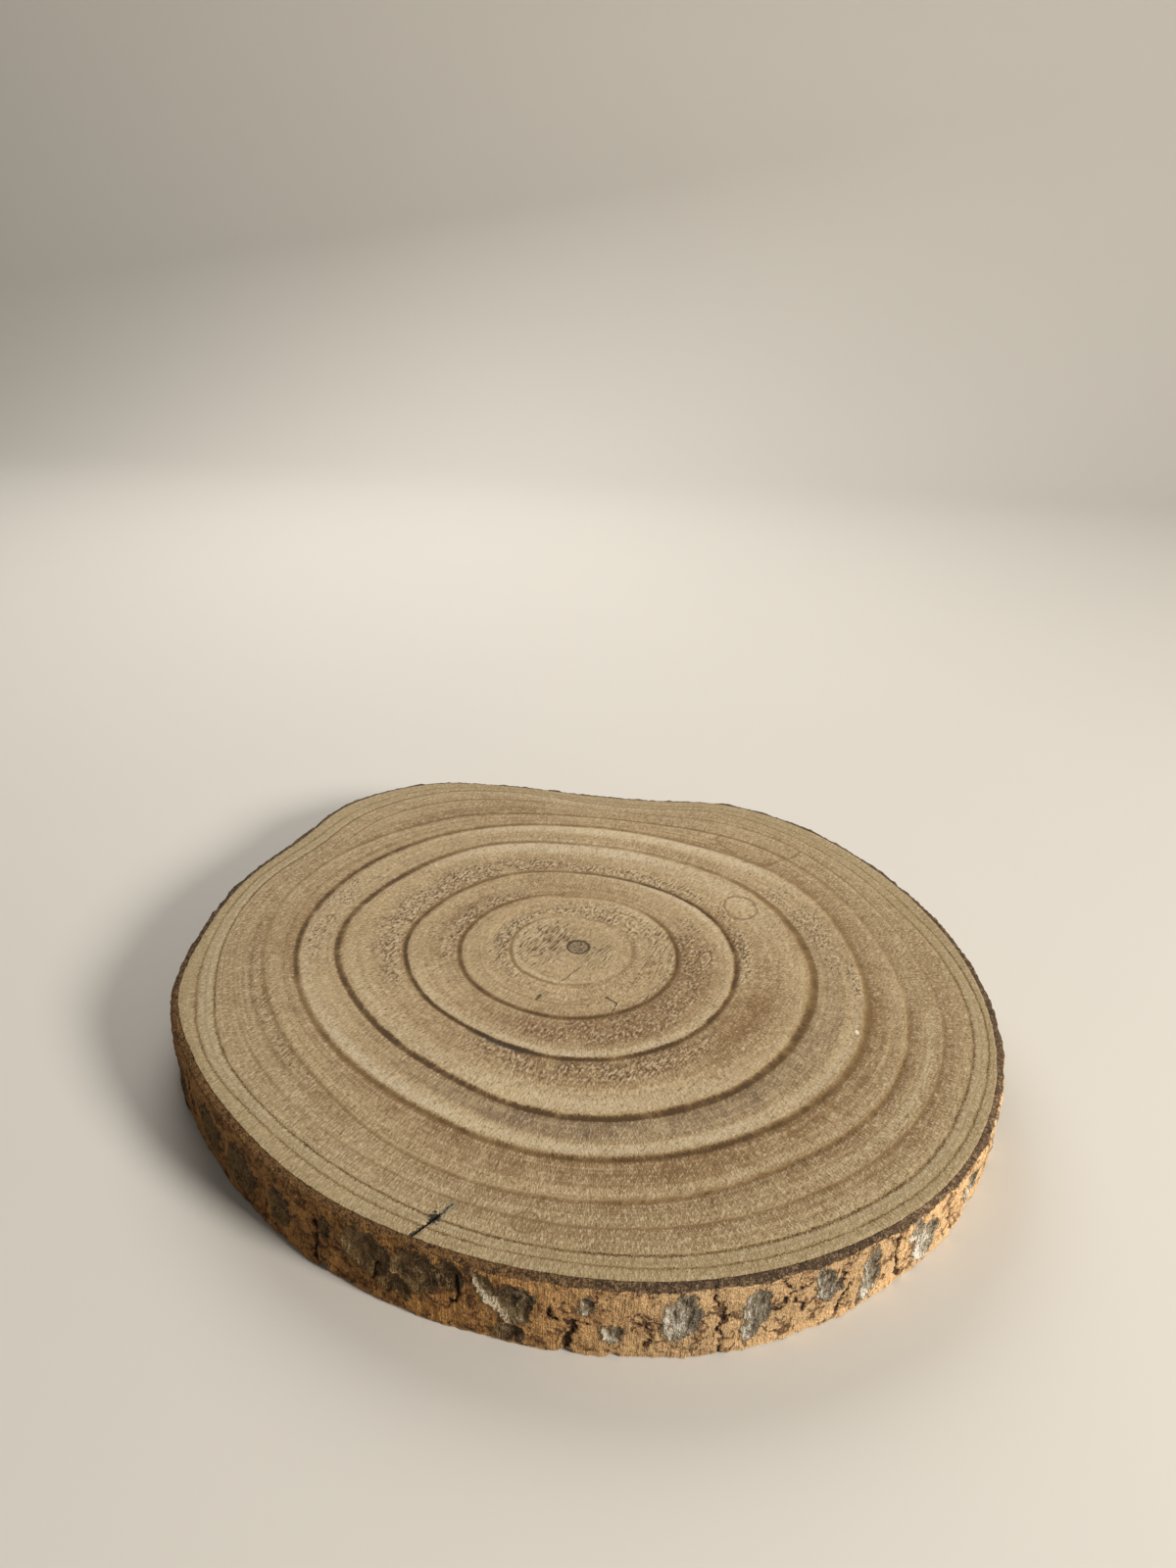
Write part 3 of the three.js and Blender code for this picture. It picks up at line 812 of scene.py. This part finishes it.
def plate_fields(degrees, level, sway):
    """How far inside a plate each point of the bark is, with the plate's tone, which holds painted light
    and shade across the plate, and its lit side.

    A plate's middle is 1 and its edge 0.
    """
    inside = np.full(degrees.shape, -1.0)
    tone = np.zeros(degrees.shape)
    lit = np.zeros(degrees.shape)
    rest_plates, _ = rest_of_bark()
    for turn, middle, half_width, half_height, tilt, plate_tone in FRONT_PLATES + rest_plates:
        along = turn_from(degrees, turn) * ARC_PER_DEGREE + sway[..., 0]
        up = level - middle + sway[..., 1]
        lean = math.radians(tilt)
        across = along * math.cos(lean) + up * math.sin(lean)
        height = up * math.cos(lean) - along * math.sin(lean)
        depth = 1.0 - np.sqrt((across / half_width) ** 2 + (height / half_height) ** 2)
        better = depth > inside
        inside = np.where(better, depth, inside)
        # Painted light and shade: each plate's tone is raised on its lower left, toward the light, and
        # lowered on its upper right.
        toward_light = -0.8 * across / half_width - 0.5 * height / half_height
        tone = np.where(better, plate_tone + (0.15 + 0.65 * plate_tone) * toward_light, tone)
        lit = np.where(better, np.clip(toward_light, 0.0, 1.0) * min(1.0, 0.25 + plate_tone * 1.5), lit)
    return inside, tone, lit


def crack_field(degrees, level, sway):
    """How far each point of the bark is from the edge of the nearest crack, below 0 inside it."""
    gap = np.full(degrees.shape, 6.0)
    _, rest_cracks = rest_of_bark()
    for half_width, route in FRONT_CRACKS + rest_cracks:
        for (turn_a, level_a), (turn_b, level_b) in zip(route, route[1:]):
            along = turn_from(degrees, turn_a) * ARC_PER_DEGREE + sway[..., 0]
            up = level - level_a + sway[..., 1]
            run = (turn_b - turn_a) * ARC_PER_DEGREE
            rise = level_b - level_a
            share = np.clip((along * run + up * rise) / (run * run + rise * rise), 0.0, 1.0)
            far = np.hypot(along - share * run, up - share * rise)
            gap = np.minimum(gap, far - half_width * 0.75)
    return gap


def make_bark(finish):
    degrees = np.arange(BARK_COLUMNS) * 360.0 / BARK_COLUMNS
    edge = reach_at(FULL_AGE, degrees)
    foot = np.full(BARK_COLUMNS, 0.1) + 0.45 * np.abs(ripple(around(edge, degrees, 0.0), 4.0, 3))
    for turn, half_width, height in CHIPS:
        away = np.abs(turn_from(degrees, turn)) * ARC_PER_DEGREE
        foot = np.maximum(foot, height * (1.0 - step_up(away, half_width * 0.4, half_width)))
    brow = BROW_LEVEL + 0.45 * ripple(around(edge, degrees, 31.0), 3.2, 3)
    share = np.linspace(1.0, 0.0, SIDE_ROWS)[:, None]
    level = foot + (brow - foot) * share
    turn = np.broadcast_to(degrees, level.shape)
    trunk = edge - lean_at(turn, level)
    skin = around(trunk + BARK_WIDTH, turn, level)
    sway = np.stack([ripple(skin, 4.5, 3), ripple(skin + 70.0, 4.5, 3)], axis=-1) * 1.7
    jag = np.stack([ripple(skin + 30.0, 1.9, 2), ripple(skin + 50.0, 1.9, 2)], axis=-1) * 1.1
    inside, tone, lit = plate_fields(turn, level, sway)
    gap = crack_field(turn, level, sway * 0.4 + jag)
    angle = np.radians(turn)
    swell = 0.35 * (np.sin(23 * angle + level / 9) + np.sin(41 * angle - level / 6)) / 2
    cork = 0.25 * ripple(skin, (2.0, 2.0, 7.0), 2) + 0.2 * ripple(skin, 1.7, 2)
    cork = cork + 0.45 * ripple(skin, 5.0, 2)
    dent = step_up(inside, -0.02, 0.45)
    lip = np.exp(-((inside - 0.08) / 0.13) ** 2) * (0.25 + lit)
    crackle = 0.4 * ripple(skin, (2.4, 2.4, 4.0), 3)
    crack = 1.0 - step_up(gap, -0.4, 0.45)
    reach = trunk + BARK_WIDTH + swell + cork * (1 - 0.6 * dent)
    reach = reach + dent * (crackle - 0.8) + 0.8 * lip - crack
    near_brow = step_up(share, 0.965, 1.0)
    near_foot = 1.0 - step_up(share, 0.0, 0.05)
    reach = reach - 0.35 * near_brow - 0.3 * near_foot
    side = around(reach, turn, level)

    # The cut rim on top, from the wood out to the side, then the foot and the hidden inner wall
    rows = [around(edge - TUCKED_UNDER, degrees, np.full(BARK_COLUMNS, RIM_ROOT))]
    for out in (0.16, 0.34, 0.52, 0.7, 0.87):
        place = edge - TUCKED_UNDER + out * (reach[0] - edge + TUCKED_UNDER)
        height = RIM_LEVEL - (RIM_LEVEL - brow) * out ** 2
        row = around(place, degrees, height)
        row[..., 2] += 0.35 * ripple(row, 1.7, 3) * min(1.0, out * 3)
        rows.append(row)
    rows += list(side)
    inner = edge - lean_at(degrees, 0.0) - TUCKED_UNDER
    for out in (0.72, 0.36, 0.0):
        rows.append(around(inner + out * (reach[-1] - inner), degrees, foot + 0.05))
    grid = np.array(rows)
    count = len(rows)
    faces = quads_between(count, BARK_COLUMNS, True)

    def over_rows(value, first, last):
        """Values of the side carried on to the rim above and the foot below."""
        top = np.broadcast_to(first, (6, BARK_COLUMNS))
        low = np.broadcast_to(last, (3, BARK_COLUMNS))
        return np.concatenate([top, value, low])

    rim = over_rows(near_brow * np.ones(level.shape), 1.6, 0.0)
    values = {
        "plate": over_rows(inside, -1.0, inside[-1]),
        "tone": over_rows(tone, 0.0, tone[-1]),
        "gap": over_rows(gap, 6.0, gap[-1]),
        "rim": rim,
    }

    # Flat layout: five strips, one above the other, each a fifth of the way round
    strips = 5
    columns_each = BARK_COLUMNS // strips
    run = np.linalg.norm(np.diff(grid, axis=0), axis=-1).mean(axis=1)
    down = np.concatenate([[0.0], np.cumsum(run)])
    down = np.append(down, down[-1] + 1.5)
    down = down / down[-1] * 0.19
    face_rows = np.repeat(np.arange(count), BARK_COLUMNS)
    face_columns = np.tile(np.arange(BARK_COLUMNS), count)
    left = 0.003 + 0.994 * (face_columns % columns_each) / columns_each
    right = left + 0.994 / columns_each
    top = 0.995 - 0.2 * (face_columns // columns_each) - down[face_rows]
    low = 0.995 - 0.2 * (face_columns // columns_each) - down[face_rows + 1]
    flat = np.stack([left, top, left, low, right, low, right, top], axis=-1).reshape(-1, 2)
    return make_piece("bark", grid.reshape(-1, 3), faces.tolist(), flat, values, finish)


# Bark colours, linear
CORK = (0.41, 0.25, 0.118)
CORK_LIGHT = (0.56, 0.385, 0.2)
CORK_PALE = (0.66, 0.49, 0.285)
CORK_DARK = (0.225, 0.118, 0.05)
CORK_SPECK = (0.10, 0.048, 0.02)
CRACK_DARK = (0.04, 0.019, 0.009)
PLATE_GREY = (0.215, 0.18, 0.128)
# The plates' own silver, also a painted highlight on their lit sides
PLATE_SILVER_AND_SHEEN = (0.56, 0.52, 0.44)
# The plates' own dark, also painted shade on their far side from the light
PLATE_DARK = (0.045, 0.034, 0.022)
RIM_BROWN = (0.078, 0.047, 0.025)
RIM_CRUMB = (0.2, 0.13, 0.072)
UNCHANGED = (1.0, 1.0, 1.0)
# Painted warm reflected light and shade, multiplied into the left front bark
WARM_SHADE_TINT = (1.0, 0.77, 0.42)


def bark_finish():
    bark = Finish("weathered_bark")
    place = bark.place_in_mm()
    plate = bark.value("plate")
    tone = bark.value("tone")
    gap = bark.value("gap")
    rim = bark.value("rim")
    x, y, z = bark.split(place)
    reach = (x * x + y * y) ** 0.5

    def toward(degrees):
        return (x * math.cos(math.radians(degrees)) + y * math.sin(math.radians(degrees))) / reach

    blotch = bark.cloud(place, 1 / 7, 3.0, 0.6)
    rough = bark.cloud(place, 1 / 1.6, 3.0, 0.65)
    grit = bark.cloud(place, 1 / 0.6, 2.0, 0.6)
    stripe = bark.cloud(bark.stretch(place, (1.6, 1.6, 0.1)), 1.0, 2.0, 0.6)
    flake = bark.cloud(bark.stretch(place, (0.75, 0.75, 0.2)), 1.0, 4.0, 0.65)
    swirl = bark.cloud(bark.stretch(place, (0.2, 0.2, 0.15)), 1.0, 1.5, 0.5)
    warp = bark.node("VectorMath", {"operation": "ADD"}, place,
                     bark.shade(bark.cloud(place, 1 / 2.5, 3.0, 0.6).also("Color"), 3.5))
    cracklet = bark.node("TexVoronoi", {"feature": "DISTANCE_TO_EDGE"}, warp, Scale=1 / 6.5)

    # Cork
    # aged marks the left front side, whose bark is darker and more mottled; it also carries painted shade
    # and a painted warm reflected light there.
    aged = bark.smooth(toward(228), 0.55, 0.95)
    # The front right side, where painted light brightens the bark and the cut rim shows narrower.
    lit_side = bark.smooth(toward(322), 0.93, 0.985)
    colour = bark.mix(bark.smooth(stripe + (blotch - 0.5) * 0.6, 0.36, 0.64), CORK, CORK_LIGHT)
    colour = bark.mix(bark.smooth(rough * 0.5 + grit * 0.5, 0.53, 0.62) * 0.5, colour, CORK_PALE)
    dusk = blotch + (rough - 0.5) * 0.9 + (stripe - 0.5) * 0.4 + aged * 0.12
    colour = bark.mix(bark.smooth(dusk, 0.47, 0.7) * 0.85, colour, CORK_DARK)
    speck = bark.smooth(rough + (blotch - 0.5) * 0.6 + aged * 0.05, 0.61, 0.66)
    colour = bark.mix(speck * 0.8, colour, CORK_SPECK)
    split_zone = bark.smooth(blotch + flake, 1.0, 1.08)
    thin = bark.smooth(cracklet + (rough - 0.5) * 0.12, 0.065, 0.03) * split_zone
    colour = bark.mix(thin * 0.85, colour, CORK_SPECK)
    low_edge = bark.smooth(z + (rough - 0.5) * 2.0, 1.5, 0.6)
    colour = bark.mix(low_edge * 0.7, colour, CORK_LIGHT)

    # Plates
    crust = plate + (rough - 0.5) * 0.6 + (flake - 0.5) * 0.6
    on_plate = bark.smooth(crust, -0.1, 0.1)
    # tint carries the painted light and shade across each plate: the dark colour on its shaded side, the
    # silver as a painted highlight on its lit side, over the plates' own grey and silver.
    tint = tone + (flake - 0.5) * (3.4 - aged * 1.6) + (grit - 0.5) * 0.6
    plate_colour = bark.mix(bark.smooth(tint, 0.0, 0.5), PLATE_DARK, PLATE_GREY)
    shine = bark.smooth(tint, 0.62, 1.1)
    plate_colour = bark.mix(shine, plate_colour, PLATE_SILVER_AND_SHEEN)
    pit = bark.smooth(rough * 0.5 + flake * 0.5, 0.45, 0.37)
    plate_colour = bark.mix(pit * 0.7, plate_colour, PLATE_DARK)
    ridge = bark.smooth(abs(swirl - 0.5), 0.022, 0.006) * bark.smooth(rough + blotch, 0.92, 1.05)
    plate_colour = bark.mix(ridge * aged * 0.45, plate_colour, PLATE_SILVER_AND_SHEEN)
    colour = bark.mix(on_plate * (0.95 - aged * 0.12), colour, plate_colour)
    # A dark line round each plate: dark flecks at its edge, with painted shadow along it.
    outline = bark.smooth(abs(crust + 0.06), 0.14, 0.02)
    colour = bark.mix(outline * bark.smooth(rough, 0.45, 0.6) * 0.4, colour, CORK_SPECK)

    # Cracks
    open_gap = gap + (rough - 0.5) * 0.9
    stain = bark.smooth(open_gap, 0.75, 0.05)
    colour = bark.mix(stain * 0.5, colour, CORK_SPECK)
    split = bark.smooth(open_gap, 0.2, -0.1)
    colour = bark.mix(split * 0.95, colour, CRACK_DARK)

    # Cut rim
    on_rim = bark.smooth(rim + (rough - 0.5) * 1.2 - lit_side * 0.7, 0.35, 0.7)
    crumbs = rough + (grit - 0.5) * 0.6 + aged * 0.14
    rim_colour = bark.mix(bark.smooth(crumbs, 0.46, 0.68), RIM_BROWN, RIM_CRUMB)
    colour = bark.mix(on_rim, colour, rim_colour)
    # Painted shade darkens the left front side and painted light brightens the front right; low_glow
    # lightens the bark near its foot on the front right.
    low_glow = bark.smooth(z, 11.0, 3.0) * bark.smooth(toward(298), 0.97, 0.995)
    light = 1.0 - aged * 0.2 + lit_side * 0.45 + low_glow * 0.25
    colour = bark.shade(colour, light + (grit - 0.5) * 1.2 + (rough - 0.5) * 0.6)
    # Painted warm reflected light and shade on the left front side, less on shiny plates.
    warm_shade = aged * (1.0 - on_plate * shine * 0.6)
    colour = bark.stretch(colour, bark.mix(warm_shade, UNCHANGED, WARM_SHADE_TINT))

    relief = rough * 0.8 + grit * 0.35 + stripe * 0.5 + on_plate * flake * 1.4 - split - thin * 0.6
    roughness = 0.85 - on_plate * shine * 0.25
    return bark.done(colour, roughness, relief, 1.3 * MM)


def plain_finish(name, tone):
    """The floor's even, matt finish, with the faintest mottle."""
    paint = Finish(name)
    place = paint.place_in_mm()
    soft = paint.cloud(place, 1 / 160, 3.0)
    colour = paint.shade(tone, (soft - 0.5) * 0.03 + 1.0)
    return paint.done(colour, 0.9, paint.cloud(place, 1 / 3, 3.0), 0.02 * MM)


# Floor and backdrop, in metres
FLOOR_FRONT = -1.6
FLOOR_BACK = 0.9
FLOOR_HALF = 2.4
FLOOR_DROP = 0.0002
BACKDROP_BEND = 0.45
BACKDROP_TOP = 2.2
BEND_STEPS = 16


def make_stage():
    """A pale floor that curves up into a backdrop."""
    run = [(FLOOR_FRONT, 0.0), (0.6, 0.0), (FLOOR_BACK, 0.0)]
    for step in range(1, BEND_STEPS + 1):
        bend = math.radians(90.0 * step / BEND_STEPS)
        run.append((FLOOR_BACK + BACKDROP_BEND * math.sin(bend), BACKDROP_BEND * (1.0 - math.cos(bend))))
    run.append((FLOOR_BACK + BACKDROP_BEND, BACKDROP_TOP))
    points = []
    faces = []
    for y, z in run:
        points += [(-FLOOR_HALF, y, z - FLOOR_DROP), (FLOOR_HALF, y, z - FLOOR_DROP)]
    for step in range(len(run) - 1):
        first = step * 2
        faces.append((first, first + 1, first + 3, first + 2))
    mesh = bpy.data.meshes.new("floor")
    mesh.from_pydata(points, [], faces)
    mesh.shade_smooth()
    mesh.materials.append(plain_finish("pale_floor", (0.62, 0.59, 0.54)))
    floor = bpy.data.objects.new("floor", mesh)
    bpy.context.scene.collection.objects.link(floor)


def add_light(name, place, target, size, power, colour):
    lamp = bpy.data.lights.new(name, "AREA")
    lamp.shape = "DISK"
    lamp.size = size
    lamp.energy = power
    lamp.color = colour
    light = bpy.data.objects.new(name, lamp)
    light.location = place
    light.rotation_euler = (Vector(target) - Vector(place)).to_track_quat("-Z", "Y").to_euler()
    bpy.context.scene.collection.objects.link(light)


def light_stage():
    """A soft key light from the front right, a weak fill from the back left and a pale room."""
    add_light("key_light", place=(1.302, -0.912, 0.845), target=(0.0, 0.0, 0.02), size=0.5, power=42.0,
              colour=(1.0, 0.95, 0.87))
    add_light("fill_light", place=(-0.2, 0.75, 0.75), target=(0.0, 0.05, 0.0), size=0.8, power=6.5,
              colour=(1.0, 0.98, 0.95))
    world = bpy.data.worlds.new("soft_room")
    world.use_nodes = True
    sky = world.node_tree.nodes["Background"]
    sky.inputs["Color"].default_value = (1.0, 0.98, 0.95, 1.0)
    sky.inputs["Strength"].default_value = 0.16
    bpy.context.scene.world = world
    bpy.context.scene.view_settings.view_transform = "Standard"


aim_camera()
make_sawn_wood(sawn_wood_finish())
make_bark(bark_finish())
make_stage()
light_stage()
